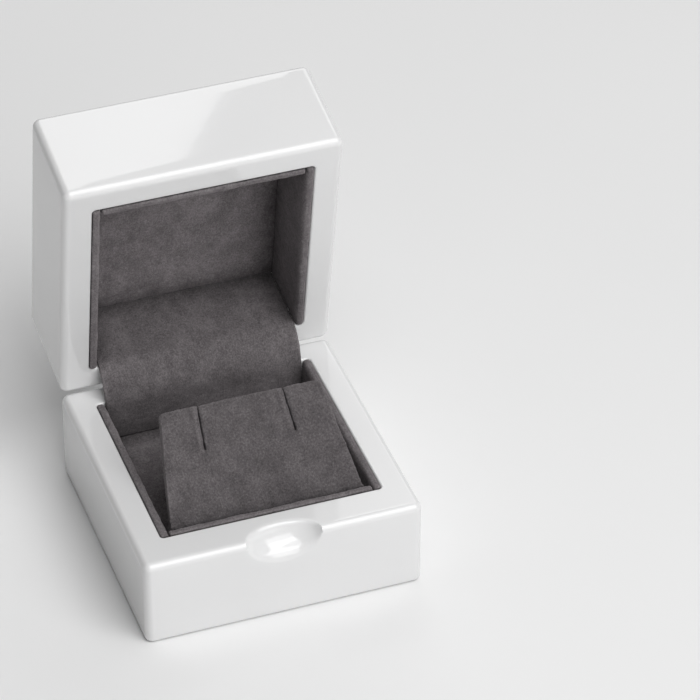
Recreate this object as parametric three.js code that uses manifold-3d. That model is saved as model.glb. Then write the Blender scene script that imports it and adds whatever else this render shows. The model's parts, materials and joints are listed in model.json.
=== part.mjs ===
// Jewelry gift box for a pair of earrings: a square, high-gloss lacquered box in two halves on a small
// metal hinge, lined with velvet, with a leaning earring pad. It stands open as displayed.
// Millimetres, +X right, +Y back, +Z up. The origin is the middle of the underside.
import * as THREE from 'three';
import { mergeVertices } from 'three/addons/utils/BufferGeometryUtils.js';
import Module from 'manifold-3d';

// Overall sizes
const WIDTH = 60; // across, X
const DEPTH = 60; // front to back, Y
const BASE_HEIGHT = 20.6; // underside to the base's rim
const LID_HEIGHT = 23.7; // the lid's rim to its eave
const ROOF_RISE = 5; // eave to the peak of the hipped roof
const OPEN_ANGLE = 80; // how far the lid stands open, degrees

// Lacquered shells
const WALL = 6.1;
const FRONT_WALL = 8.1; // the base's front wall, which carries the thumb scoop
const BASE_FLOOR = 6.1;
const LID_TOP = 6.3; // the lid's thickness between its cavity and the eave
const CORNER_RADIUS = 2.2; // upright edges
const RIM_RADIUS = 1.6; // the outer edge of both rims
const FOOT_RADIUS = 1.2; // the underside's edge
const EAVE_RADIUS = 2.4;
const CAVITY_RADIUS = 0.8; // upright edges of both cavities
const SEAM = 0.6; // between the rims when shut
const ROOF_BOW = 1.5; // above 1 the roof is steeper at the eave than at the peak
const SCOOP = { halfWidth: 8, intoWall: 4.2, down: 4.5 };

// Velvet-covered pieces
const LINING = 1.8; // thickness of a covered card
const LINING_PROUD = 0.2; // how far the linings stand past the rims
const GLUE = 0.1; // the shadow gap between neighbours
const FLOOR_PAD = 4.9;
const CEILING_PAD = 1.3;
const COVER = 0.8; // the velvet band over the hinge

// Earring pad
const PAD_THICKNESS = 2.4;
const PAD_TAPER = 0.825; // top width over bottom width
const PAD_SIDE_GAP = 0.7;
const PAD_ANGLE = 42.5; // how far the face leans back from level, degrees
const PAD_HEADROOM = 1.5; // under the shut lid's ceiling
const PAD_CORNER = 1.8;
const SLIT = { width: 0.6, depth: 9.5, spacing: 18.5, splay: 3.5 }; // splay in degrees
const STRUT = { width: 16, thickness: 1.2, share: 0.6 }; // share of the pad's run, from its foot

// Hinge
const AXIS_INSET = 0.7; // hinge axis in from the back face
const AXIS_RISE = 1; // hinge axis above the base's rim
const HINGE_WIDTH = 22;
const KNUCKLE = 1.3; // radius
const PIN = 0.6; // radius
const PIN_FIT = 0.15;
const RUNNING_GAP = 0.3;
const LEAF = 0.45; // thickness
const LEAF_INSET = 0.8; // the leaf's inner edge from the wall's inner face
const SCREW = { head: 1.1, shank: 0.55, length: 4, spacing: 15 };
const CUT_FIT = 0.08; // clearance of a cut around the metal let into it

// Mesh fineness
const ARC = 6;
const ROUND = 28;

// Derived places
const HALF_X = WIDTH / 2;
const HALF_Y = DEPTH / 2;
const LID_RIM = BASE_HEIGHT + SEAM;
const EAVE = LID_RIM + LID_HEIGHT;
const CEILING = EAVE - LID_TOP;
const CAVITY_X = HALF_X - WALL;
const CAVITY_BACK = HALF_Y - WALL;
const BASE_FRONT = FRONT_WALL - HALF_Y;
const LID_FRONT = WALL - HALF_Y;
const AXIS_Y = HALF_Y - AXIS_INSET;
const AXIS_Z = BASE_HEIGHT + AXIS_RISE;
const INNER_X = CAVITY_X - 2 * GLUE - LINING; // half the width left between the side linings
const FLOOR_TOP = BASE_FLOOR + GLUE + FLOOR_PAD;
const CEILING_FACE = CEILING - GLUE - CEILING_PAD;
const LEAF_FRONT = CAVITY_BACK + LEAF_INSET;
const SCREW_Y = (LEAF_FRONT + AXIS_Y - KNUCKLE) / 2;
const BEYOND = 5; // how far a cutter runs past the surface it opens

const wasm = await Module();
wasm.setup();

// ---- Solids and booleans ----

function welded(geometry) {
  const bare = geometry.clone();
  bare.deleteAttribute('normal');
  bare.deleteAttribute('uv');
  return mergeVertices(bare, 1e-4);
}

function toManifold(geometry) {
  const solid = welded(geometry);
  return new wasm.Manifold(new wasm.Mesh({
    numProp: 3,
    vertProperties: new Float32Array(solid.attributes.position.array),
    triVerts: new Uint32Array(solid.index.array),
  }));
}

function fromManifold(manifold) {
  const mesh = manifold.getMesh();
  const geometry = new THREE.BufferGeometry();
  geometry.setAttribute('position', new THREE.BufferAttribute(new Float32Array(mesh.vertProperties), 3));
  geometry.setIndex(new THREE.BufferAttribute(new Uint32Array(mesh.triVerts), 1));
  geometry.computeVertexNormals();
  return geometry;
}

function carve(body, cutters) {
  let result = toManifold(body);
  for (const cutter of cutters) {
    result = result.subtract(toManifold(cutter));
  }
  return fromManifold(result);
}

function join(bodies) {
  let result = toManifold(bodies[0]);
  for (const body of bodies.slice(1)) {
    result = result.add(toManifold(body));
  }
  return fromManifold(result);
}

// ---- Building blocks ----

// One level of a loft: a rounded rectangle between x0..x1 and y0..y1 at height z.
function level(box, inset, radius, z) {
  const half = Math.min(box.x1 - box.x0, box.y1 - box.y0) / 2 - inset;
  const corner = Math.min(Math.max(radius - inset, 0.05), 0.9 * half);
  const x = [box.x1 - inset - corner, box.x0 + inset + corner];
  const y = [box.y1 - inset - corner, box.y0 + inset + corner];
  const centres = [[x[0], y[0]], [x[1], y[0]], [x[1], y[1]], [x[0], y[1]]];
  return centres.flatMap(([cx, cy], quarter) => Array.from({ length: ARC + 1 }, (_, step) => {
    const angle = (quarter + step / ARC) * Math.PI / 2;
    return [cx + corner * Math.cos(angle), cy + corner * Math.sin(angle), z];
  }));
}

// A closed solid through levels listed from the lowest to the highest.
function loft(levels) {
  const count = levels[0].length;
  const top = (levels.length - 1) * count;
  const points = levels.flat();
  const triangles = [];
  for (let row = 0; row < levels.length - 1; row += 1) {
    for (let i = 0; i < count; i += 1) {
      const a = row * count + i;
      const b = row * count + (i + 1) % count;
      triangles.push(a, b, b + count, a, b + count, a + count);
    }
  }
  for (let i = 1; i < count - 1; i += 1) {
    triangles.push(0, i + 1, i, top, top + i, top + i + 1);
  }
  const geometry = new THREE.BufferGeometry();
  geometry.setAttribute('position', new THREE.Float32BufferAttribute(points.flat(), 3));
  geometry.setIndex(triangles);
  return geometry;
}

// The levels of a rounded lower edge, then of a rounded upper edge.
function lowerEdge(box, corner, radius, z) {
  return Array.from({ length: ARC + 1 }, (_, step) => {
    const angle = step / ARC * Math.PI / 2;
    return level(box, radius * (1 - Math.sin(angle)), corner, z + radius * (1 - Math.cos(angle)));
  });
}

function upperEdge(box, corner, radius, z, sweep = Math.PI / 2) {
  return Array.from({ length: ARC + 1 }, (_, step) => {
    const angle = step / ARC * sweep;
    return level(box, radius * (1 - Math.cos(angle)), corner, z - radius * (1 - Math.sin(angle)));
  });
}

function roundedBlock(box, corner, lowRadius, highRadius) {
  return loft([
    ...lowerEdge(box, corner, lowRadius, box.z0),
    ...upperEdge(box, corner, highRadius, box.z1),
  ]);
}

function straightBlock(box, corner) {
  return loft([level(box, 0, corner, box.z0), level(box, 0, corner, box.z1)]);
}

function plainBox(box) {
  const geometry = new THREE.BoxGeometry(box.x1 - box.x0, box.y1 - box.y0, box.z1 - box.z0);
  geometry.translate((box.x0 + box.x1) / 2, (box.y0 + box.y1) / 2, (box.z0 + box.z1) / 2);
  return geometry;
}

// A round bar along X on the hinge axis.
function axisBar(radius, x0, x1) {
  const geometry = new THREE.CylinderGeometry(radius, radius, x1 - x0, ROUND);
  geometry.rotateZ(Math.PI / 2);
  geometry.translate((x0 + x1) / 2, AXIS_Y, AXIS_Z);
  return geometry;
}

// ---- Materials ----

function material(color, roughness, metalness = 0) {
  return new THREE.MeshStandardMaterial({ color, roughness, metalness });
}

const lacquer = () => material(0xf2f2f2, 0.08);
const velvet = () => material(0x575355, 0.95);
const card = () => material(0x8d8478, 0.9);
const brass = () => material(0xc9a24a, 0.3, 1);
const steel = () => material(0xb9bcc0, 0.3, 1);

function piece(name, geometry, look) {
  const mesh = new THREE.Mesh(geometry, look);
  mesh.name = name;
  return mesh;
}

// ---- Lacquered shells ----

function outline(z0, z1) {
  return { x0: -HALF_X, x1: HALF_X, y0: -HALF_Y, y1: HALF_Y, z0, z1 };
}

function thumbScoop() {
  const geometry = new THREE.SphereGeometry(1, 2 * ROUND, ROUND);
  geometry.scale(SCOOP.halfWidth, SCOOP.intoWall, SCOOP.down);
  geometry.translate(0, -HALF_Y, BASE_HEIGHT);
  return geometry;
}

// The recess let into both rims for the leaves and the knuckles.
function hingeRecess(z0, z1) {
  const half = HINGE_WIDTH / 2 + CUT_FIT;
  return [
    plainBox({ x0: -half, x1: half, y0: LEAF_FRONT - CUT_FIT, y1: HALF_Y + BEYOND, z0, z1 }),
    axisBar(KNUCKLE + RUNNING_GAP, -half, half),
  ];
}

function screwHoles(surface, direction) {
  return [-1, 1].map((side) => screwSolid(side, surface, direction, CUT_FIT));
}

function baseShell() {
  const cavity = {
    x0: -CAVITY_X, x1: CAVITY_X, y0: BASE_FRONT, y1: CAVITY_BACK,
    z0: BASE_FLOOR, z1: BASE_HEIGHT + BEYOND,
  };
  const block = roundedBlock(outline(0, BASE_HEIGHT), CORNER_RADIUS, FOOT_RADIUS, RIM_RADIUS);
  return carve(block, [
    straightBlock(cavity, CAVITY_RADIUS),
    thumbScoop(),
    ...hingeRecess(BASE_HEIGHT - LEAF - CUT_FIT, BASE_HEIGHT + BEYOND),
    ...screwHoles(BASE_HEIGHT, -1),
  ]);
}

// The hipped roof: bowed facets that rise from the rounded eave to the peak.
function roofLevels(box) {
  const steps = 2 * ARC;
  const inset = EAVE_RADIUS * (1 - Math.cos(Math.PI / 3));
  const drop = EAVE_RADIUS * (1 - Math.sin(Math.PI / 3));
  const reach = Math.min(HALF_X, HALF_Y) - inset;
  return Array.from({ length: steps }, (_, step) => {
    const share = (step + 1) / (steps + 0.4);
    const rise = (ROOF_RISE + drop) * (1 - (1 - share) ** ROOF_BOW) - drop;
    return level(box, inset + reach * share, CORNER_RADIUS + EAVE_RADIUS + reach * share, EAVE + rise);
  });
}

function lidShell() {
  const box = outline(LID_RIM, EAVE);
  const cavity = {
    x0: -CAVITY_X, x1: CAVITY_X, y0: LID_FRONT, y1: CAVITY_BACK,
    z0: LID_RIM - BEYOND, z1: CEILING,
  };
  const block = loft([
    ...lowerEdge(box, CORNER_RADIUS, RIM_RADIUS, LID_RIM),
    ...upperEdge(box, CORNER_RADIUS, EAVE_RADIUS, EAVE, Math.PI / 3),
    ...roofLevels(box),
  ]);
  return carve(block, [
    straightBlock(cavity, CAVITY_RADIUS),
    ...hingeRecess(LID_RIM - BEYOND, LID_RIM + LEAF + CUT_FIT),
    ...screwHoles(LID_RIM, 1),
  ]);
}

// ---- Velvet linings ----

function sideLining(side, front, z0, z1) {
  const inner = side * (CAVITY_X - GLUE - LINING);
  const outer = side * (CAVITY_X - GLUE);
  return roundedBlock({
    x0: Math.min(inner, outer), x1: Math.max(inner, outer),
    y0: front + GLUE, y1: CAVITY_BACK - GLUE, z0, z1,
  }, LINING / 2 - 0.05, 0.2, LINING / 3);
}

function frontLining(front, z0, z1) {
  return roundedBlock({
    x0: -INNER_X, x1: INNER_X, y0: front + GLUE, y1: front + GLUE + LINING, z0, z1,
  }, LINING / 2 - 0.05, 0.2, LINING / 3);
}

function floorPad() {
  return roundedBlock({
    x0: -INNER_X, x1: INNER_X, y0: BASE_FRONT + 2 * GLUE + LINING, y1: CAVITY_BACK - GLUE,
    z0: BASE_FLOOR + GLUE, z1: FLOOR_TOP,
  }, CAVITY_RADIUS, 0.3, 0.5);
}

function ceilingPad() {
  return roundedBlock({
    x0: -CAVITY_X + GLUE, x1: CAVITY_X - GLUE, y0: LID_FRONT + GLUE, y1: CAVITY_BACK - GLUE,
    z0: CEILING_FACE, z1: CEILING - GLUE,
  }, CAVITY_RADIUS, 0.4, 0.2);
}

// The velvet band that hides the hinge, where it lies on the back wall of one half.
function hingeCover(z0, z1) {
  return plainBox({
    x0: -INNER_X + GLUE, x1: INNER_X - GLUE,
    y0: CAVITY_BACK - GLUE - COVER, y1: CAVITY_BACK - GLUE, z0, z1,
  });
}

// ---- Earring pad ----

const PAD_FOOT_Y = BASE_FRONT + 2 * GLUE + LINING; // the pad's front, against the front lining
const PAD_BEND_Z = BASE_HEIGHT - LINING; // where the pad leaves the front lining and leans back
const PAD_LEAN = THREE.MathUtils.degToRad(PAD_ANGLE);
const PAD_RISE = CEILING_FACE - PAD_HEADROOM - PAD_BEND_Z;
const PAD_RUN = PAD_RISE / Math.tan(PAD_LEAN);
const PAD_LENGTH = PAD_RISE / Math.sin(PAD_LEAN);
const PAD_HALF = INNER_X - PAD_SIDE_GAP;

// The face of the pad, tapered to its top, with two slits that splay outwards.
function padOutline() {
  const top = PAD_HALF * PAD_TAPER;
  const slitX = SLIT.spacing / 2;
  const drift = SLIT.depth * Math.tan(THREE.MathUtils.degToRad(SLIT.splay));
  const shape = new THREE.Shape();
  shape.moveTo(-PAD_HALF, 0);
  shape.lineTo(PAD_HALF, 0);
  shape.lineTo(top + 0.4, PAD_LENGTH - PAD_CORNER);
  shape.quadraticCurveTo(top, PAD_LENGTH, top - PAD_CORNER, PAD_LENGTH);
  for (const side of [1, -1]) {
    const near = side * slitX + SLIT.width / 2;
    const deep = side * (slitX + drift) + SLIT.width / 2;
    shape.lineTo(near, PAD_LENGTH);
    shape.lineTo(deep, PAD_LENGTH - SLIT.depth);
    shape.lineTo(deep - SLIT.width, PAD_LENGTH - SLIT.depth);
    shape.lineTo(near - SLIT.width, PAD_LENGTH);
  }
  shape.lineTo(-top + PAD_CORNER, PAD_LENGTH);
  shape.quadraticCurveTo(-top, PAD_LENGTH, -top - 0.4, PAD_LENGTH - PAD_CORNER);
  shape.closePath();
  return shape;
}

// One folded card: a foot that stands behind the front lining, and the face that leans back.
function earringPad() {
  const face = new THREE.ExtrudeGeometry(padOutline(), {
    depth: PAD_THICKNESS, bevelEnabled: false, curveSegments: ARC,
  });
  face.translate(0, 0, -PAD_THICKNESS);
  face.rotateX(PAD_LEAN);
  face.translate(0, PAD_FOOT_Y, PAD_BEND_Z);
  const foot = plainBox({
    x0: -PAD_HALF, x1: PAD_HALF, y0: PAD_FOOT_Y, y1: PAD_FOOT_Y + PAD_THICKNESS,
    z0: FLOOR_TOP + GLUE, z1: PAD_BEND_Z,
  });
  return join([face, foot]);
}

// A card prop that stands on the floor pad and carries the leaning face.
function padStrut() {
  const front = PAD_FOOT_Y + PAD_RUN * STRUT.share;
  const face = PAD_BEND_Z + (front - PAD_FOOT_Y) * Math.tan(PAD_LEAN);
  const underside = face - PAD_THICKNESS / Math.cos(PAD_LEAN);
  return plainBox({
    x0: -STRUT.width / 2, x1: STRUT.width / 2, y0: front, y1: front + STRUT.thickness,
    z0: FLOOR_TOP + GLUE, z1: underside - GLUE,
  });
}

// ---- Hinge ----

// The stretches of the axis that carry the two base knuckles, and the lid knuckle between them.
const KNUCKLE_SPLIT = HINGE_WIDTH / 6;
const BASE_KNUCKLES = [[-HINGE_WIDTH / 2, -KNUCKLE_SPLIT], [KNUCKLE_SPLIT, HINGE_WIDTH / 2]];
const LID_KNUCKLES = [[RUNNING_GAP - KNUCKLE_SPLIT, KNUCKLE_SPLIT - RUNNING_GAP]];

// A countersunk screw at one rim, pointing down (-1) or up (1). Grown, it is its own hole.
function screwSolid(side, surface, direction, grown = 0) {
  const { head, shank, length } = SCREW;
  const taper = head - shank;
  const profile = [
    [0, -grown], [head + grown, -grown], [head + grown, 0], [shank + grown, taper],
    [shank + grown, length + grown], [0, length + shank + grown],
  ];
  const turned = profile.map(([r, y]) => new THREE.Vector2(r, -y)).reverse();
  const geometry = new THREE.LatheGeometry(turned, ROUND);
  geometry.rotateX(direction < 0 ? Math.PI / 2 : -Math.PI / 2);
  geometry.translate(side * SCREW.spacing / 2, SCREW_Y, surface);
  return geometry;
}

function hingeLeaf(z0, surface, direction, own, other) {
  const plate = plainBox({
    x0: -HINGE_WIDTH / 2, x1: HINGE_WIDTH / 2, y0: LEAF_FRONT, y1: AXIS_Y, z0, z1: z0 + LEAF,
  });
  const cleared = carve(plate, other.map(([x0, x1]) => (
    axisBar(KNUCKLE + RUNNING_GAP, x0 - RUNNING_GAP, x1 + RUNNING_GAP)
  )));
  const knuckled = join([cleared, ...own.map(([x0, x1]) => axisBar(KNUCKLE, x0, x1))]);
  return carve(knuckled, [
    axisBar(PIN + PIN_FIT, -HINGE_WIDTH, HINGE_WIDTH),
    ...screwHoles(surface, direction),
  ]);
}

function slottedScrew(side, surface, direction) {
  const slot = 0.15;
  const x = side * SCREW.spacing / 2;
  return carve(screwSolid(side, surface, direction), [plainBox({
    x0: x - BEYOND, x1: x + BEYOND, y0: SCREW_Y - slot, y1: SCREW_Y + slot,
    z0: surface - slot, z1: surface + slot,
  })]);
}

function screws(prefix, surface, direction) {
  return [[-1, 'left'], [1, 'right']].map(([side, word]) => (
    piece(`${prefix}_screw_${word}`, slottedScrew(side, surface, direction), steel())
  ));
}

// ---- Assembly ----

function baseHalf() {
  const group = new THREE.Group();
  group.name = 'base_half';
  const top = BASE_HEIGHT + LINING_PROUD;
  const low = BASE_FLOOR + GLUE;
  group.add(
    piece('base_shell', baseShell(), lacquer()),
    piece('base_lining_front', frontLining(BASE_FRONT, low, top), velvet()),
    piece('base_lining_left', sideLining(-1, BASE_FRONT, low, top), velvet()),
    piece('base_lining_right', sideLining(1, BASE_FRONT, low, top), velvet()),
    piece('base_floor_pad', floorPad(), velvet()),
    piece('hinge_cover_base', hingeCover(FLOOR_TOP + GLUE, BASE_HEIGHT), velvet()),
    piece('earring_pad', earringPad(), velvet()),
    piece('pad_strut', padStrut(), card()),
    piece(
      'hinge_base_leaf',
      hingeLeaf(BASE_HEIGHT - LEAF, BASE_HEIGHT, -1, BASE_KNUCKLES, LID_KNUCKLES),
      brass(),
    ),
    piece('hinge_pin', axisBar(PIN, -HINGE_WIDTH / 2, HINGE_WIDTH / 2), brass()),
    ...screws('base', BASE_HEIGHT, -1),
  );
  return group;
}

// The lid is drawn shut, then turned open about the hinge axis.
function lidHalf() {
  const shut = new THREE.Group();
  shut.name = 'lid_pieces';
  shut.position.set(0, -AXIS_Y, -AXIS_Z);
  const low = LID_RIM - LINING_PROUD;
  const top = CEILING_FACE - GLUE;
  shut.add(
    piece('lid_shell', lidShell(), lacquer()),
    piece('lid_lining_front', frontLining(LID_FRONT, low, top), velvet()),
    piece('lid_lining_left', sideLining(-1, LID_FRONT, low, top), velvet()),
    piece('lid_lining_right', sideLining(1, LID_FRONT, low, top), velvet()),
    piece('lid_ceiling_pad', ceilingPad(), velvet()),
    piece('hinge_cover_lid', hingeCover(LID_RIM + LINING_PROUD, top), velvet()),
    piece('hinge_lid_leaf', hingeLeaf(LID_RIM, LID_RIM, 1, LID_KNUCKLES, BASE_KNUCKLES), brass()),
    ...screws('lid', LID_RIM, 1),
  );
  const turned = new THREE.Group();
  turned.name = 'lid_half';
  turned.position.set(0, AXIS_Y, AXIS_Z);
  turned.rotation.x = -THREE.MathUtils.degToRad(OPEN_ANGLE);
  turned.add(shut);
  return turned;
}

const box = new THREE.Group();
box.name = 'jewelry_gift_box';
box.add(baseHalf(), lidHalf());

export default box;
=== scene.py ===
"""Looks of the jewelry gift box: lacquered shells, velvet linings, the leaning earring pad, the velvet
band over the hinge and the hinge itself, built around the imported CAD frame. Metres, +Z up, and the thumb
scoop faces -Y. The lid's pieces are made with the lid shut, then turned to where it stands at rest."""

import json
import math

import bmesh
import bpy
import numpy as np
from mathutils import Matrix, Vector, noise


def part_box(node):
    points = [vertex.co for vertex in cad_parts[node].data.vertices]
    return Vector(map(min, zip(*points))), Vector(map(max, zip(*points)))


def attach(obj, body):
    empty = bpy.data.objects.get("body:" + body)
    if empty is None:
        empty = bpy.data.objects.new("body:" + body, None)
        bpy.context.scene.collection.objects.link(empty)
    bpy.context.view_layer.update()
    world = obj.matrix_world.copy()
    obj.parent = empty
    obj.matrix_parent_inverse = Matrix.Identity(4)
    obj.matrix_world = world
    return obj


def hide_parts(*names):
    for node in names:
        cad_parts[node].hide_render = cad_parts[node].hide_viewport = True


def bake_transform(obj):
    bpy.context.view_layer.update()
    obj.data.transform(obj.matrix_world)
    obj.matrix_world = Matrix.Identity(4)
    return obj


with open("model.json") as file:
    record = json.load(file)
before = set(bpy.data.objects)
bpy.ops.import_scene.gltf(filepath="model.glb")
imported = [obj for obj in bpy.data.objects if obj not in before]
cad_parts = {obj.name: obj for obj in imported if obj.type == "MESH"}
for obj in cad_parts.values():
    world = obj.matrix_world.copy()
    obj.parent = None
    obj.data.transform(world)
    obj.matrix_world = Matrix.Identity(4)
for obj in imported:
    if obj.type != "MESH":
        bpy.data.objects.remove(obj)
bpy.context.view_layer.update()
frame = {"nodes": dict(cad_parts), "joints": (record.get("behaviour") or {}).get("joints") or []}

MM = 0.001
CLOSE = 0.01 * MM  # points of the CAD nearer than this are level

# The lid stands open at rest and shuts at the far end of its hinge's range.
HINGE = frame["joints"][0]
AXIS = np.array(HINGE["pos_m"])
SWING = math.radians(HINGE["range_deg"][1])

# Lacquered shells: roundings, roof and thumb scoop
RIM_RADIUS = 1.5 * MM
FOOT_RADIUS = 1.2 * MM
EAVE_RADIUS = 1.6 * MM
CORNER_RADIUS = 1.7 * MM
CAVITY_CORNER = 0.8 * MM
INNER_EDGE = 0.45 * MM
SHADOW_GAP = 0.1 * MM
ROOF_RISE = 5 * MM
ROOF_BOW = 1.5  # 1 is a flat facet, and more bows it outwards
HIP_RADIUS = 5 * MM
SCOOP = (8 * MM, 4.2 * MM, 4.5 * MM)  # half width, reach into the rim, reach down the front
SCOOP_LIP = (0.65 * MM, 1.3 * MM)  # softness of its edge on the rim, and lowest on the front
SCOOP_MESH = 10.5 * MM  # half width of the stretch with fine mesh
FINE_STEP = 0.3 * MM
OUTSIDE_STEP = 2.2 * MM
INSIDE_STEP = 4 * MM
CREASE = 35  # degrees, over which a shell's edge stays hard

# The hinge's recess in both rims
LEAF_DEPTH = 0.53 * MM
LEAF_GAP = 0.08 * MM
KNUCKLE_RADIUS = 1.3 * MM
KNUCKLE_GAP = 0.3 * MM
CUT_PAST = 6 * MM  # how far a cutter runs beyond what it cuts

# Velvet: wavelength and height of each layer of unevenness, and the size of the mesh it needs
NAP = ((5 * MM, 0.12 * MM), (1.4 * MM, 0.08 * MM), (0.45 * MM, 0.075 * MM))
LINING_VOXEL = 0.24 * MM
FLAT_VOXEL = 0.26 * MM
PAD_VOXEL = 0.2 * MM

# Covered cards: how far an edge draws in at the card's visible end, and from how far below that end.
# An edge is rolled furthest on the face that looks into the box. The sides are x0, x1, y0 and y1.
CARD_CORNER = 0.4 * MM
FACE_ROLL = (0.8 * MM, 1.5 * MM)
WALL_ROLL = (0.3 * MM, 0.4 * MM)
END_ROLL = (0.35 * MM, 0.6 * MM)
LINING_ROLLS = {
    "front": (END_ROLL, END_ROLL, WALL_ROLL, FACE_ROLL),
    "left": (WALL_ROLL, FACE_ROLL, END_ROLL, END_ROLL),
    "right": (FACE_ROLL, WALL_ROLL, END_ROLL, END_ROLL),
}
FLAT_ROLLS = (WALL_ROLL,) * 4

# Earring pad
PAD_THICKNESS = 2.4 * MM
PAD_TAPER = 0.825  # the top edge's share of the foot's width
PAD_CORNER = 1.1 * MM
SLIT_WIDTH = 0.56 * MM
SLIT_DEPTH = 9.5 * MM
SLIT_PLACE = 9.25 * MM  # from the middle, at the top edge
SLIT_DRIFT = SLIT_DEPTH * math.tan(math.radians(3.5))  # how much further out its lower end is

# Hinge cover band
BAND_STEP = 0.28 * MM
BAND_EXTRA = 0.15 * MM  # added to the CAD cover on either side, so that it meets the linings' nap
BAND_TRIM = 0.8 * MM  # what the bend takes from each straight stretch
BAND_STIFFNESS = 0.30  # how long it runs on straight before it bends, as a share of the bend

# Camera: azimuth, elevation and roll in degrees, place in metres, lens in millimetres
CAMERA_AZIMUTH = -19.62
CAMERA_ELEVATION = 38.07
CAMERA_ROLL = 0.14
CAMERA_PLACE = (-0.2027, -0.6376, 0.5705)
CAMERA_LENS = 213.3

# Lights: name, place, target, width and height, brightness, turn about its own axis in degrees.
# The panel looks straight down, and the side of the lid that faces up mirrors its edge.
MIDDLE = (0, 0.01, 0.04)
LIGHTS = (
    ("key", (0.28, -0.77, 0.80), MIDDLE, (1.0, 1.0), 2.42, 0),
    ("panel", (0.089, 0.808, 1.0), (0.089, 0.808, 0), (0.5, 0.7), 1.8, -42),
    ("back", (0.60, 1.26, 0.96), MIDDLE, (1.2, 0.9), 1.3, 0),
    ("top", (0.22, -0.52, 1.25), MIDDLE, (1.3, 1.0), 2.3, 0),
    ("fill", (-0.05, -1.35, 0.30), MIDDLE, (1.4, 0.6), 0.25, 0),
)
WORLD_STRENGTH = 0.1
FLOOR_HALF = 3


# ---- Turning the lid ----

def turned(points, angle):
    """Points turned about the hinge axis, which runs along X."""
    points = np.asarray(points, float) - AXIS
    cosine, sine = math.cos(angle), math.sin(angle)
    y = points[:, 1] * cosine - points[:, 2] * sine
    z = points[:, 1] * sine + points[:, 2] * cosine
    return np.column_stack([points[:, 0], y, z]) + AXIS


def opened(points):
    return turned(points, -SWING)


def shut_box(node, body):
    """Lowest and highest corner of a CAD node while the lid is shut."""
    if body == "base":
        low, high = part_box(node)
        return np.array(low), np.array(high)
    points = turned([v.co for v in frame["nodes"][node].data.vertices], SWING)
    return points.min(0), points.max(0)


# ---- Mesh making ----

def new_object(name, points, faces):
    mesh = bpy.data.meshes.new(name)
    mesh.from_pydata([tuple(p) for p in points], [], faces)
    mesh.validate()
    mesh.update()
    made = bpy.data.objects.new(name, mesh)
    bpy.context.scene.collection.objects.link(made)
    return made


def places(obj):
    return np.array([v.co for v in obj.data.vertices])


def move_to(obj, points):
    obj.data.vertices.foreach_set("co", points.astype(np.float32).ravel())
    obj.data.update()
    return obj


def open_lid_piece(obj):
    """A piece made with the lid shut, turned to where the lid stands at rest."""
    return move_to(obj, opened(places(obj)))


def shade(obj, sharp_degrees=180.0):
    """Smooth shading, with the edges sharper than that kept hard."""
    mesh = obj.data
    mesh.polygons.foreach_set("use_smooth", [True] * len(mesh.polygons))
    if sharp_degrees < 180:
        mesh.set_sharp_from_angle(angle=math.radians(sharp_degrees))
    mesh.update()
    return obj


def spread(low, high, step):
    """Evenly spaced values from low to high, at most step apart."""
    return np.linspace(low, high, max(2, int(math.ceil(abs(high - low) / step)) + 1))


def ring(rect, radius, z, runs, arc=10):
    """A rounded rectangle, anticlockwise from its front left. runs are the stations of each side, -1 to 1."""
    x0, x1, y0, y1 = rect
    radius = min(radius, 0.49 * (x1 - x0), 0.49 * (y1 - y0))
    cx, cy = (x0 + x1) / 2, (y0 + y1) / 2
    hx, hy = (x1 - x0) / 2 - radius, (y1 - y0) / 2 - radius
    turn = np.linspace(0, math.pi / 2, arc + 2)[1:-1]
    front, right, back, left = runs
    sides = [
        [(cx + t * hx, y0) for t in front],
        [(cx + hx + radius * math.sin(a), cy - hy - radius * math.cos(a)) for a in turn],
        [(x1, cy + t * hy) for t in right],
        [(cx + hx + radius * math.cos(a), cy + hy + radius * math.sin(a)) for a in turn],
        [(cx - t * hx, y1) for t in back],
        [(cx - hx - radius * math.sin(a), cy + hy + radius * math.cos(a)) for a in turn],
        [(x0, cy - t * hy) for t in left],
        [(cx - hx - radius * math.cos(a), cy - hy - radius * math.sin(a)) for a in turn],
    ]
    return np.array([(x, y, z) for side in sides for x, y in side])


def skin(name, rings):
    """A closed mesh through rings of equal length, capped at both ends."""
    count = len(rings[0])
    faces = []
    for row in range(len(rings) - 1):
        for i in range(count):
            a, b = row * count + i, row * count + (i + 1) % count
            faces.append((a, b, b + count, a + count))
    faces.append(tuple(range(count - 1, -1, -1)))
    faces.append(tuple(range((len(rings) - 1) * count, len(rings) * count)))
    return new_object(name, np.vstack(rings), faces)


def grown(rect, by):
    x0, x1, y0, y1 = rect
    return x0 - by, x1 + by, y0 - by, y1 + by


def between(a, b, share):
    return tuple(p + (q - p) * share for p, q in zip(a, b))


def apply_modifiers(obj):
    evaluated = obj.evaluated_get(bpy.context.evaluated_depsgraph_get())
    mesh = bpy.data.meshes.new_from_object(evaluated)
    obj.modifiers.clear()
    obj.data = mesh
    return obj


def combine(obj, others, operation):
    """A boolean of the object with others, which are used up."""
    for other in others:
        modifier = obj.modifiers.new("combine", "BOOLEAN")
        modifier.object = other
        modifier.operation = operation
        modifier.solver = "EXACT"
    apply_modifiers(obj)
    for other in others:
        bpy.data.objects.remove(other)


def face_outwards(obj):
    work = bmesh.new()
    work.from_mesh(obj.data)
    bmesh.ops.recalc_face_normals(work, faces=work.faces[:])
    work.to_mesh(obj.data)
    work.free()
    obj.data.update()
    return obj


def box_object(name, low, high):
    corners = [(x, y, z) for x in (low[0], high[0]) for y in (low[1], high[1]) for z in (low[2], high[2])]
    faces = [(0, 1, 3, 2), (4, 6, 7, 5), (0, 4, 5, 1), (2, 3, 7, 6), (0, 2, 6, 4), (1, 5, 7, 3)]
    return new_object(name, corners, faces)


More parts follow.
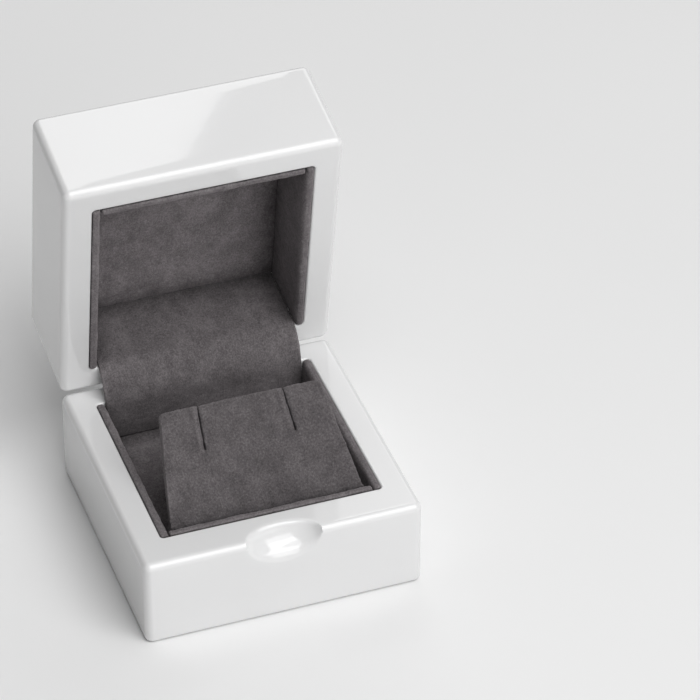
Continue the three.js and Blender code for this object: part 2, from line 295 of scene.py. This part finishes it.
def bar_along_x(name, centre, radius, x0, x1, sides=64):
    """A round bar along X about the point (y, z)."""
    y, z = centre
    angles = np.linspace(0, 2 * math.pi, sides, endpoint=False)
    rings = [
        np.array([(x, y + radius * math.cos(a), z + radius * math.sin(a)) for a in angles])
        for x in (x0, x1)
    ]
    return skin(name, rings)


def roughen(obj, layers, seed):
    """Moves each point along its normal by soft noise. layers are (wavelength, height) pairs."""
    points = places(obj)
    normals = np.array([v.normal for v in obj.data.vertices])
    shift = Vector((seed, 0, 0))
    push = np.zeros(len(points))
    for wavelength, height in layers:
        push += height * np.array([noise.noise(Vector(p) / wavelength + shift) for p in points])
    return move_to(obj, points + normals * push[:, None])


# ---- Materials ----

def new_material(name):
    """An empty material: itself, its nodes and links, its shader, and the place on the object."""
    made = bpy.data.materials.new(name)
    made.use_nodes = True
    nodes, links = made.node_tree.nodes, made.node_tree.links
    place = nodes.new("ShaderNodeTexCoord").outputs["Object"]
    return made, nodes, links, nodes["Principled BSDF"], place


def set_inputs(node, values):
    for socket, value in values.items():
        node.inputs[socket].default_value = value


def stretched(nodes, links, vector, scale):
    made = nodes.new("ShaderNodeMapping")
    made.inputs["Scale"].default_value = scale
    links.new(vector, made.inputs["Vector"])
    return made.outputs["Vector"]


def noise_node(nodes, links, vector, scale, detail=3.0, roughness=0.5):
    made = nodes.new("ShaderNodeTexNoise")
    set_inputs(made, {"Scale": scale, "Detail": detail, "Roughness": roughness})
    links.new(vector, made.inputs["Vector"])
    return made.outputs["Fac"]


def range_node(nodes, links, value, limits):
    """The value mapped from one range to another. limits are those that differ from 0 and 1."""
    made = nodes.new("ShaderNodeMapRange")
    set_inputs(made, limits)
    links.new(value, made.inputs["Value"])
    return made.outputs["Result"]


def mix_numbers(nodes, links, share, first, second):
    """share of the second number, and the rest of the first."""
    made = nodes.new("ShaderNodeMix")
    made.data_type = "FLOAT"
    made.inputs["Factor"].default_value = share
    links.new(first, made.inputs["A"])
    links.new(second, made.inputs["B"])
    return made.outputs["Result"]


def ramp_node(nodes, links, factor, stops):
    made = nodes.new("ShaderNodeValToRGB")
    links.new(factor, made.inputs["Fac"])
    elements = made.color_ramp.elements
    for element, (place, colour) in zip(elements, stops):
        element.position = place
        element.color = (*colour, 1)
    for place, colour in stops[2:]:
        elements.new(place).color = (*colour, 1)
    return made.outputs["Color"]


def add_bump(nodes, links, shader, height, strength, distance):
    made = nodes.new("ShaderNodeBump")
    set_inputs(made, {"Strength": strength, "Distance": distance})
    links.new(height, made.inputs["Height"])
    links.new(made.outputs["Normal"], shader.inputs["Normal"])


def painted_corner_shade(nodes, links, colour, reach):
    """The colour with painted shade: darker where surfaces close in on each other within that reach."""
    open_share = nodes.new("ShaderNodeAmbientOcclusion")
    open_share.samples = 8
    open_share.inputs["Distance"].default_value = reach
    limits = {"From Min": 0.25, "From Max": 0.95, "To Min": 0.22}
    light_left = range_node(nodes, links, open_share.outputs["AO"], limits)
    made = nodes.new("ShaderNodeVectorMath")
    made.operation = "SCALE"
    links.new(colour, made.inputs[0])
    links.new(light_left, made.inputs["Scale"])
    return made.outputs["Vector"]


def lacquer_material():
    """Deep white piano lacquer: even colour, hard clear coat, a trace of orange peel."""
    made, nodes, links, shader, place = new_material("white_lacquer")
    drift = noise_node(nodes, links, place, 35, 2.0)
    greyer, whiter = (0.755, 0.755, 0.757), (0.775, 0.775, 0.777)
    tone = ramp_node(nodes, links, drift, [(0.3, greyer), (0.7, whiter)])
    links.new(tone, shader.inputs["Base Color"])
    polish = noise_node(nodes, links, place, 900, 4.0)
    rough = range_node(nodes, links, polish, {"To Min": 0.03, "To Max": 0.07})
    links.new(rough, shader.inputs["Roughness"])
    peel = noise_node(nodes, links, place, 420, 1.0)
    add_bump(nodes, links, shader, peel, 0.05, 0.06 * MM)
    set_inputs(shader, {"IOR": 1.5, "Coat Weight": 0.4, "Coat Roughness": 0.02})
    return made


def velvet_material(name, light_and_shade_lift):
    """Short-pile grey velvet: speckled nap, faint brushed patches, pale fibre tips that also paint a
    highlight on rounded rims and painted shade in hollows and corners, and a sheen where it turns away. The
    lift paints the colour paler or darker, as painted light and shade."""
    made, nodes, links, shader, place = new_material(name)
    brushed = stretched(nodes, links, place, (1, 0.75, 0.75))
    patches = noise_node(nodes, links, brushed, 260, 6.0, 0.68)
    nap = noise_node(nodes, links, brushed, 3300, 4.0, 0.8)
    # Pointiness: pale fibre tips of the nap, and also a painted highlight on rounded rims and painted shade
    # in hollows.
    tips_and_painted_rim_light = nodes.new("ShaderNodeNewGeometry").outputs["Pointiness"]
    raised_and_painted_rim_light = range_node(nodes, links, tips_and_painted_rim_light, {"From Min": 0.42, "From Max": 0.58})
    speckle = mix_numbers(nodes, links, 0.64, patches, nap)
    height = mix_numbers(nodes, links, 0.24, speckle, raised_and_painted_rim_light)
    stops = [(0.385, (0.066, 0.060, 0.062)), (0.5, (0.135, 0.123, 0.127)), (0.625, (0.235, 0.217, 0.222))]
    # The lift paints the whole colour paler or darker: painted light and shade.
    lifted = [(where, tuple(light_and_shade_lift * c for c in colour)) for where, colour in stops]
    tone = ramp_node(nodes, links, height, lifted)
    # Painted shade: the velvet's colour is darkened in its corners and creases.
    links.new(painted_corner_shade(nodes, links, tone, 6 * MM), shader.inputs["Base Color"])
    pile = noise_node(nodes, links, place, 3600, 2.0, 0.6)
    add_bump(nodes, links, shader, pile, 0.45, 0.2 * MM)
    set_inputs(shader, {"Roughness": 0.95, "Specular IOR Level": 0.1, "Sheen Weight": 0.3})
    set_inputs(shader, {"Sheen Roughness": 0.5, "Sheen Tint": (0.70, 0.65, 0.67, 1)})
    return made


def metal_material(name, colour, smoothest):
    """Bright metal sheet with a fine brushed grain along X."""
    made, nodes, links, shader, place = new_material(name)
    grain = noise_node(nodes, links, stretched(nodes, links, place, (0.05, 1, 1)), 9000)
    worn = noise_node(nodes, links, place, 700)
    rough = range_node(nodes, links, grain, {"To Min": smoothest, "To Max": smoothest + 0.22})
    links.new(rough, shader.inputs["Roughness"])
    darker = tuple(0.8 * c for c in colour)
    tone = ramp_node(nodes, links, worn, [(0.35, darker), (0.65, colour)])
    links.new(tone, shader.inputs["Base Color"])
    add_bump(nodes, links, shader, grain, 0.15, 0.03 * MM)
    shader.inputs["Metallic"].default_value = 1.0
    return made


def card_material():
    """Grey board with short fibres."""
    made, nodes, links, shader, place = new_material("grey_card")
    fibres = noise_node(nodes, links, place, 1600, 6.0, 0.75)
    dark, pale = (0.20, 0.18, 0.155), (0.33, 0.30, 0.26)
    tone = ramp_node(nodes, links, fibres, [(0.35, dark), (0.65, pale)])
    links.new(tone, shader.inputs["Base Color"])
    add_bump(nodes, links, shader, fibres, 0.4, 0.08 * MM)
    shader.inputs["Roughness"].default_value = 0.9
    return made


LACQUER = lacquer_material()
# One velvet in lit and shaded copies: each copy's colour is painted paler or darker, as painted light and
# shade for its part
VELVET_PAD_PAINTED_SHADE = velvet_material("grey_velvet", 0.72)
VELVET_BAND_PAINTED_SHADE = velvet_material("grey_velvet_band_painted_shade", 0.93)
VELVET_LININGS_PAINTED_LIGHT = velvet_material("grey_velvet_linings_painted_light", 0.97)
VELVET_CEILING_PAINTED_LIGHT = velvet_material("grey_velvet_ceiling_painted_light", 1.52)
BRASS = metal_material("brass_sheet", (0.78, 0.56, 0.24), 0.16)
STEEL = metal_material("steel_screw", (0.62, 0.63, 0.65), 0.2)
CARD = card_material()


def dress(obj, material):
    obj.data.materials.clear()
    obj.data.materials.append(material)


def replace_node(obj, node, body, material):
    """Dresses a finished piece and puts it in the place of one rigid CAD node."""
    dress(obj, material)
    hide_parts(node)
    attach(obj, body)


# ---- Lacquered shells ----

def side_runs(fine=None):
    """Stations along the four sides. fine is the reach and step of a finer stretch amid the front."""
    plain = np.linspace(-1, 1, 13)
    front = plain
    if fine is not None:
        reach, step = fine
        outer = np.linspace(reach, 1, 7)[1:]
        front = np.concatenate([-outer[::-1], spread(-reach, reach, step), outer])
    return front, plain, plain, plain


def edge_rings(rect, radius, z, start, stop, facing, runs, steps):
    """Rings around a shell's rounded edge: inset and height follow a quarter circle from angle start to stop.
    Angle 0 is the wall's face, 90 degrees the flat's; facing is +1 for an edge that looks up."""
    made = []
    for angle in np.linspace(math.radians(start), math.radians(stop), steps):
        inset = radius * (1 - math.cos(angle))
        height = z - facing * radius * (1 - math.sin(angle))
        corner = max(CORNER_RADIUS - inset, 0.05 * MM)
        made.append(ring(grown(rect, -inset), corner, height, runs))
    return made


def wall_rings(rect, corner, z0, z1, runs, step):
    return [ring(rect, corner, z, runs) for z in spread(z0, z1, step)]


def rim_rings(outer, hollow, z, runs, steps):
    """Rings across a flat rim, between its rounded outer edge and the rounding of its hollow."""
    start, stop = grown(outer, -RIM_RADIUS), grown(hollow, INNER_EDGE)
    start_corner, stop_corner = CORNER_RADIUS - RIM_RADIUS, CAVITY_CORNER + INNER_EDGE
    made = []
    for share in np.linspace(0, 1, steps)[1:-1]:
        corner = (1 - share) * start_corner + share * stop_corner
        made.append(ring(between(start, stop, share), corner, z, runs))
    return made


def inner_edge(hollow, z, facing, runs):
    """The small rounding where a rim turns down into its hollow, from the rim to the wall."""
    made = []
    for angle in np.linspace(0, math.pi / 2, 6):
        grow = INNER_EDGE * (1 - math.sin(angle))
        height = z - facing * INNER_EDGE * (1 - math.cos(angle))
        made.append(ring(grown(hollow, grow), CAVITY_CORNER + grow, height, runs))
    return made


def roof_rings(outer, eave, runs):
    """The hipped roof: bowed facets from the rounded eave to the peak, over soft hips."""
    half = (outer[1] - outer[0]) / 2
    start = math.atan(ROOF_RISE * ROOF_BOW / half)
    sweep = math.degrees(math.pi / 2 - start)
    rings = edge_rings(outer, EAVE_RADIUS, eave, 0, sweep, 1, runs, 14)
    inset = EAVE_RADIUS * (1 - math.sin(start))
    drop = EAVE_RADIUS * (1 - math.cos(start))
    reach = half - inset
    for share in np.linspace(0, 1, 46)[1:-1]:
        height = eave - drop + (ROOF_RISE + drop) * (1 - (1 - share) ** ROOF_BOW)
        rect = grown(outer, -(inset + reach * share))
        corner = CORNER_RADIUS - inset + HIP_RADIUS * min(1, 3 * share)
        rings.append(ring(rect, min(corner, 0.46 * (rect[1] - rect[0])), height, runs))
    return rings


def cavity(body):
    """The plan of a half's hollow, from the linings that stand in it."""
    left, right, front = [shut_box(f"{body}_lining_{side}", body) for side in ("left", "right", "front")]
    return grown((left[0][0], right[1][0], front[0][1], left[1][1]), SHADOW_GAP)


def carve_scoop(obj, y0, z0):
    """Sinks the thumb scoop, a part of an ellipsoid about the front top edge. Its lip is softest in front."""
    a, b, c = SCOOP
    points = places(obj)
    x, y, z = points[:, 0], points[:, 1] - y0, points[:, 2] - z0
    # Only the points about the scoop move
    near = (np.abs(x) < 1.6 * a) & (y < 1.7 * b) & (z > -1.7 * c)
    x, y, z = x[near], y[near], z[near]
    inward = np.array([0, b, -c]) / math.hypot(b, c)
    # The way in to the ellipsoid's wall, by the quadratic formula, and carried on smoothly outside it
    square = (inward[1] / b) ** 2 + (inward[2] / c) ** 2
    half = y * inward[1] / b ** 2 + z * inward[2] / c ** 2
    rest = (x / a) ** 2 + (y / b) ** 2 + (z / c) ** 2 - 1
    under = half ** 2 - square * rest
    root = np.sqrt(np.abs(under))
    depth = np.where(under > 0, root - half, -root - half) / square
    lowness = np.clip(-z / c, 0, 1) ** 1.5
    lip = SCOOP_LIP[0] + (SCOOP_LIP[1] - SCOOP_LIP[0]) * lowness
    sink = lip * np.logaddexp(0, depth / lip)
    points[near] += sink[:, None] * inward
    return move_to(obj, points)


def recess_cutters(body, z0, z1):
    """The hinge's recess in a rim: a flat seat for the leaf and a round trough for the knuckles."""
    low, high = shut_box(f"hinge_{body}_leaf", body)
    half = high[0] + LEAF_GAP
    return [
        box_object("seat", (-half, low[1] - LEAF_GAP, z0), (half, high[1] + CUT_PAST, z1)),
        bar_along_x("trough", AXIS[1:], KNUCKLE_RADIUS + KNUCKLE_GAP, -half, half),
    ]


def base_shell():
    low, high = shut_box("base_shell", "base")
    outer = (low[0], high[0], low[1], high[1])
    hollow = cavity("base")
    floor = shut_box("base_floor_pad", "base")[0][2] - SHADOW_GAP
    foot, top = low[2], high[2]
    half_run = (high[0] - low[0]) / 2 - CORNER_RADIUS
    runs = side_runs((SCOOP_MESH / half_run, FINE_STEP / half_run))
    shoulder = top - 1.5 * SCOOP[2]  # where the mesh grows fine, below the scoop
    rings = edge_rings(outer, FOOT_RADIUS, foot, 90, 0, -1, runs, 7)
    rings += wall_rings(outer, CORNER_RADIUS, foot + FOOT_RADIUS, shoulder, runs, OUTSIDE_STEP)[1:]
    rings += wall_rings(outer, CORNER_RADIUS, shoulder, top - RIM_RADIUS, runs, FINE_STEP)[1:]
    rings += edge_rings(outer, RIM_RADIUS, top, 0, 90, 1, runs, 11)[1:]
    rings += rim_rings(outer, hollow, top, runs, 24)
    rings += inner_edge(hollow, top, 1, runs)
    rings += wall_rings(hollow, CAVITY_CORNER, top - INNER_EDGE, floor, runs, INSIDE_STEP)[1:]
    made = carve_scoop(skin("base_shell_lacquered", rings), low[1], top)
    combine(made, recess_cutters("base", top - LEAF_DEPTH, top + CUT_PAST), "DIFFERENCE")
    return shade(made, CREASE)


def lid_shell():
    low, high = shut_box("lid_shell", "lid")
    outer = (low[0], high[0], low[1], high[1])
    hollow = cavity("lid")
    ceiling = shut_box("lid_ceiling_pad", "lid")[1][2] + SHADOW_GAP
    rim, eave = low[2], high[2] - ROOF_RISE
    runs = side_runs()
    rings = wall_rings(hollow, CAVITY_CORNER, ceiling, rim + INNER_EDGE, runs, INSIDE_STEP)
    rings += inner_edge(hollow, rim, -1, runs)[::-1]
    rings += rim_rings(outer, hollow, rim, runs, 8)[::-1]
    rings += edge_rings(outer, RIM_RADIUS, rim, 90, 0, -1, runs, 11)
    rings += wall_rings(outer, CORNER_RADIUS, rim + RIM_RADIUS, eave - EAVE_RADIUS, runs, OUTSIDE_STEP)[1:-1]
    rings += roof_rings(outer, eave, runs)
    made = skin("lid_shell_lacquered", rings)
    combine(made, recess_cutters("lid", rim - CUT_PAST, rim + LEAF_DEPTH), "DIFFERENCE")
    return open_lid_piece(shade(made, CREASE))


# ---- Velvet linings ----

def soften(obj, voxel, rounds):
    """Remeshes a solid finely and smooths it, so its edges turn as cloth does over a card."""
    remesh = obj.modifiers.new("remesh", "REMESH")
    remesh.mode = "VOXEL"
    remesh.voxel_size = voxel
    smooth = obj.modifiers.new("smooth", "SMOOTH")
    smooth.factor = 0.5
    smooth.iterations = rounds
    return apply_modifiers(obj)


def napped(obj, seed):
    """The surface of a short pile: slow hollows of the hand-laid cloth, and the ends of the fibres."""
    shade(roughen(obj, NAP, seed))


def rolled(roll, left):
    """How far a rolled edge has drawn in, a distance left below the card's visible end."""
    depth, reach = roll
    return depth * (1 - math.sqrt(max(0.0, 1 - (1 - left / reach) ** 2))) if left < reach else 0.0


def covered_card(node, body, rolls, voxel, seed, material):
    """A velvet-covered card, standing on its edge or lying flat, in the place of that node. Its visible end
    looks up in the base and down in the lid."""
    low, high = shut_box(node, body)
    tall = high[2] - low[2]
    longest = max(reach for depth, reach in rolls)
    rolling = longest * (1 - np.cos(np.linspace(0, math.pi / 2, 16)))
    stations = np.unique(np.concatenate([rolling, np.linspace(longest, tall, 6)]))
    runs = (np.linspace(-1, 1, 24),) * 4
    rings = []
    for left in stations[stations <= tall + 1e-9]:
        x0, x1, y0, y1 = [rolled(roll, left) for roll in rolls]
        rect = (low[0] + x0, high[0] - x1, low[1] + y0, high[1] - y1)
        z = high[2] - left if body == "base" else low[2] + left
        rings.append(ring(rect, CARD_CORNER, z, runs, 4))
    made = skin(f"{node}_velvet", rings[::-1] if body == "base" else rings)
    napped(soften(made, voxel, 2), seed)
    if body == "lid":
        open_lid_piece(made)
    finish_velvet(made, node, body, material)


def finish_velvet(obj, node, body, material):
    replace_node(obj, node, body, material)


# ---- Earring pad ----

def pad_measures():
    """The CAD pad's box, the height where its face bends back, and how far back its top edge is."""
    points = places(frame["nodes"]["earring_pad"])
    low, high = points.min(0), points.max(0)
    on_front = points[np.abs(points[:, 1] - low[1]) < CLOSE]
    on_top = points[points[:, 2] > high[2] - CLOSE]
    return low, high, on_front[:, 2].max(), on_top[0][1]


def pad_outline(half, length):
    """The leaning face's outline in its own plane, from just below the bend (y = 0) up, with both slits."""
    def corner_arc(cx, cy, start):
        return [(cx + PAD_CORNER * math.cos(a), cy + PAD_CORNER * math.sin(a))
                for a in np.linspace(start, start + math.pi / 2, 7)]

    corner_x, corner_y = PAD_TAPER * half - PAD_CORNER, length - PAD_CORNER
    slit_foot = length - SLIT_DEPTH
    points = [(-half, -1 * MM), (half, -1 * MM)]
    points += corner_arc(corner_x, corner_y, 0)
    for side in (1, -1):
        top, foot = side * SLIT_PLACE, side * (SLIT_PLACE + SLIT_DRIFT)
        w = SLIT_WIDTH / 2
        points += [(top + w, length), (foot + w, slit_foot), (foot - w, slit_foot), (top - w, length)]
    points += corner_arc(-corner_x, corner_y, math.pi / 2)
    return points


def slab(name, outline, thickness):
    """The outline in X and Y, made solid downwards."""
    work = bmesh.new()
    face = work.faces.new([work.verts.new((x, y, 0)) for x, y in outline])
    work.normal_update()
    if face.normal.z < 0:
        face.normal_flip()
    made = bmesh.ops.extrude_face_region(work, geom=[face])
    moved = [v for v in made["geom"] if isinstance(v, bmesh.types.BMVert)]
    bmesh.ops.translate(work, verts=moved, vec=(0, 0, -thickness))
    bmesh.ops.triangulate(work, faces=work.faces[:])
    bmesh.ops.recalc_face_normals(work, faces=work.faces[:])
    mesh = bpy.data.meshes.new(name)
    work.to_mesh(mesh)
    work.free()
    obj = bpy.data.objects.new(name, mesh)
    bpy.context.scene.collection.objects.link(obj)
    return obj


def pucker(obj, to_face, length):
    """Shapes the slits' lips: the cloth turns in at each, and the lip towards -X stands a little prouder."""
    # All in millimetres: how far the cloth moves, and over what distance that dies away
    fold, fold_reach = 0.36, 0.42
    left_lip, right_lip, lip_place, lip_reach = 0.36, 0.12, 1.0, 0.55
    pull, pull_place, pull_reach = 0.20, 0.28, 0.5
    notch, notch_reach, notch_spread = 0.42, 1.1, 0.5
    face_depth = 1.3
    from_face = to_face.inverted()
    points = np.array([from_face @ v.co for v in obj.data.vertices]) / MM
    across, up, out = points[:, 0], points[:, 1], points[:, 2]
    for side in (1, -1):
        below = length / MM - up
        down = np.clip(below / (SLIT_DEPTH / MM), 0, 1.2)
        off = across - side * (SLIT_PLACE + SLIT_DRIFT * down) / MM
        gap = np.abs(off)
        fade = np.clip((1.12 - down) / 0.35, 0, 1) * (out > -face_depth)
        lip = np.where(off < 0, left_lip, right_lip) * np.exp(-((gap - lip_place) / lip_reach) ** 2)
        out += fade * (lip - fold * np.exp(-gap / fold_reach))
        across -= fade * np.sign(off) * pull * np.exp(-np.maximum(gap - pull_place, 0) / pull_reach)
        up -= notch * np.exp(-(below / notch_reach) ** 2) * np.exp(-gap / notch_spread)
    return move_to(obj, np.array([to_face @ Vector(p) for p in points * MM]))


def earring_pad():
    """One folded card: a foot behind the front lining, and above the bend a face that leans back."""
    low, high, bend, top_y = pad_measures()
    front = low[1]
    run, rise = top_y - front, high[2] - bend
    lean, length = math.atan2(rise, run), math.hypot(run, rise)
    half = (high[0] - low[0]) / 2
    made = slab("earring_pad_velvet", pad_outline(half, length), PAD_THICKNESS)
    to_face = Matrix.Translation((0, front, bend)) @ Matrix.Rotation(lean, 4, "X")
    made.data.transform(to_face)
    # The foot laps a little into the face, so that they join
    foot = box_object("foot", (-half, front, low[2]), (half, front + PAD_THICKNESS, bend + 0.2 * MM))
    combine(made, [foot], "UNION")
    soften(made, PAD_VOXEL, 3)
    napped(pucker(made, to_face, length), 7.3)
    finish_velvet(made, "earring_pad", "base", VELVET_PAD_PAINTED_SHADE)


# ---- Hinge cover band ----

def band_profile():
    """The band's middle line in Y and Z, from the base's floor over the hinge to the lid's ceiling, and
    which of its points the bend starts and ends at."""
    base_low, base_high = shut_box("hinge_cover_base", "base")
    lid_low, lid_high = shut_box("hinge_cover_lid", "lid")
    y = (base_low[1] + base_high[1]) / 2
    foot = [(y, z) for z in spread(base_low[2], base_high[2] - BAND_TRIM, BAND_STEP)]
    shut = [(0, y, z) for z in spread(lid_low[2] + BAND_TRIM, lid_high[2], BAND_STEP)]
    head = [(p[1], p[2]) for p in opened(shut)]
    start, stop = np.array(foot[-1]), np.array(head[0])
    handle = BAND_STIFFNESS * np.linalg.norm(stop - start)
    leave = start + handle * np.array([0, 1])
    arrive = stop - handle * np.array([math.sin(SWING), math.cos(SWING)])
    bend = []
    for t in np.linspace(0, 1, 30)[1:-1]:
        from_start = (1 - t) ** 3 * start + 3 * (1 - t) ** 2 * t * leave
        bend.append(tuple(from_start + 3 * (1 - t) * t ** 2 * arrive + t ** 3 * stop))
    return np.array(foot + bend + head), len(foot) - 1, len(foot) + len(bend)


def hinge_band():
    """One velvet band over both back walls and the hinge between them, shaped with the lid where it stands at
    rest.
    """
    line, leaves, arrives = band_profile()
    low, high = shut_box("hinge_cover_base", "base")
    half, thick = (high[0] - low[0]) / 2 + BAND_EXTRA, (high[1] - low[1]) / 2
    straight = half - thick
    tangents = np.gradient(line, axis=0)
    tangents /= np.linalg.norm(tangents, axis=1)[:, None]
    stations = np.linspace(-1, 1, 165)
    turn = np.linspace(-math.pi / 2, math.pi / 2, 7)[1:-1]
    section = [(straight * t, thick) for t in stations]
    section += [(straight + thick * math.cos(a), -thick * math.sin(a)) for a in turn]
    section += [(-straight * t, -thick) for t in stations]
    section += [(-straight - thick * math.cos(a), thick * math.sin(a)) for a in turn]
    rings = []
    for (y, z), (ty, tz) in zip(line, tangents):
        rings.append(np.array([(x, y - n * tz, z + n * ty) for x, n in section]))
    made = face_outwards(skin("hinge_cover_band", rings))
    napped(made, 3.1)
    dress(made, VELVET_BAND_PAINTED_SHADE)
    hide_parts("hinge_cover_base", "hinge_cover_lid")
    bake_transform(made)


# ---- Putting it together. Each velvet piece has its own seed, for its own unevenness ----

replace_node(base_shell(), "base_shell", "base", LACQUER)
replace_node(lid_shell(), "lid_shell", "lid", LACQUER)
for number, (side, rolls) in enumerate(LINING_ROLLS.items()):
    for body, seed in (("base", 11.0), ("lid", 17.0)):
        covered_card(f"{body}_lining_{side}", body, rolls, LINING_VOXEL, seed + number, VELVET_LININGS_PAINTED_LIGHT)
covered_card("base_floor_pad", "base", FLAT_ROLLS, FLAT_VOXEL, 23.0, VELVET_LININGS_PAINTED_LIGHT)
covered_card("lid_ceiling_pad", "lid", FLAT_ROLLS, FLAT_VOXEL, 29.0, VELVET_CEILING_PAINTED_LIGHT)
earring_pad()
hinge_band()
# The hinge and the card behind the pad are the CAD's own meshes.
for node in ("hinge_base_leaf", "hinge_lid_leaf", "hinge_pin"):
    dress(frame["nodes"][node], BRASS)
for node in ("base_screw_left", "base_screw_right", "lid_screw_left", "lid_screw_right"):
    dress(frame["nodes"][node], STEEL)
dress(frame["nodes"]["pad_strut"], CARD)


# ---- Studio ----

def aimed(obj, place, target, turn):
    """Puts a light or camera at the place, looks at the target and turns about that line, in degrees."""
    obj.location = place
    obj.rotation_mode = "QUATERNION"
    look = (Vector(target) - Vector(place)).to_track_quat("-Z", "Y")
    obj.rotation_quaternion = look @ Matrix.Rotation(math.radians(turn), 3, "Z").to_quaternion()
    bpy.context.scene.collection.objects.link(obj)
    return obj


def softbox(name, place, target, size, brightness, turn):
    """A rectangular light. Its power gives the same brightness at any size."""
    light = bpy.data.lights.new(name, "AREA")
    light.shape = "RECTANGLE"
    light.size, light.size_y = size
    light.energy = brightness * math.pi * size[0] * size[1]
    aimed(bpy.data.objects.new(name, light), place, target, turn)


def studio_floor():
    half = FLOOR_HALF
    floor = new_object("floor", [(-half, -half, 0), (half, -half, 0), (half, half, 0), (-half, half, 0)],
                       [(0, 1, 2, 3)])
    made, nodes, links, shader, place = new_material("pale_floor")
    greyer, whiter = (0.80, 0.80, 0.80), (0.82, 0.82, 0.82)
    drift = noise_node(nodes, links, place, 6, 2.0)
    tone = ramp_node(nodes, links, drift, [(0.3, greyer), (0.7, whiter)])
    links.new(tone, shader.inputs["Base Color"])
    shader.inputs["Roughness"].default_value = 0.8
    floor.data.materials.append(made)


def studio():
    studio_floor()
    bpy.context.scene.view_settings.view_transform = "Standard"
    world = bpy.data.worlds.new("studio")
    world.use_nodes = True
    background = world.node_tree.nodes["Background"]
    set_inputs(background, {"Color": (1, 1, 1, 1), "Strength": WORLD_STRENGTH})
    bpy.context.scene.world = world
    for light in LIGHTS:
        softbox(*light)


def main_camera():
    camera = bpy.data.cameras.new("camera")
    camera.sensor_width = 36
    camera.lens = CAMERA_LENS
    camera.clip_start, camera.clip_end = 0.01, 20
    azimuth, elevation = math.radians(CAMERA_AZIMUTH), math.radians(CAMERA_ELEVATION)
    level = math.cos(elevation)
    back = Vector((math.sin(azimuth) * level, -math.cos(azimuth) * level, math.sin(elevation)))
    place = Vector(CAMERA_PLACE)
    obj = bpy.data.objects.new("camera", camera)
    bpy.context.scene.camera = aimed(obj, place, place - back, CAMERA_ROLL)


studio()
main_camera()
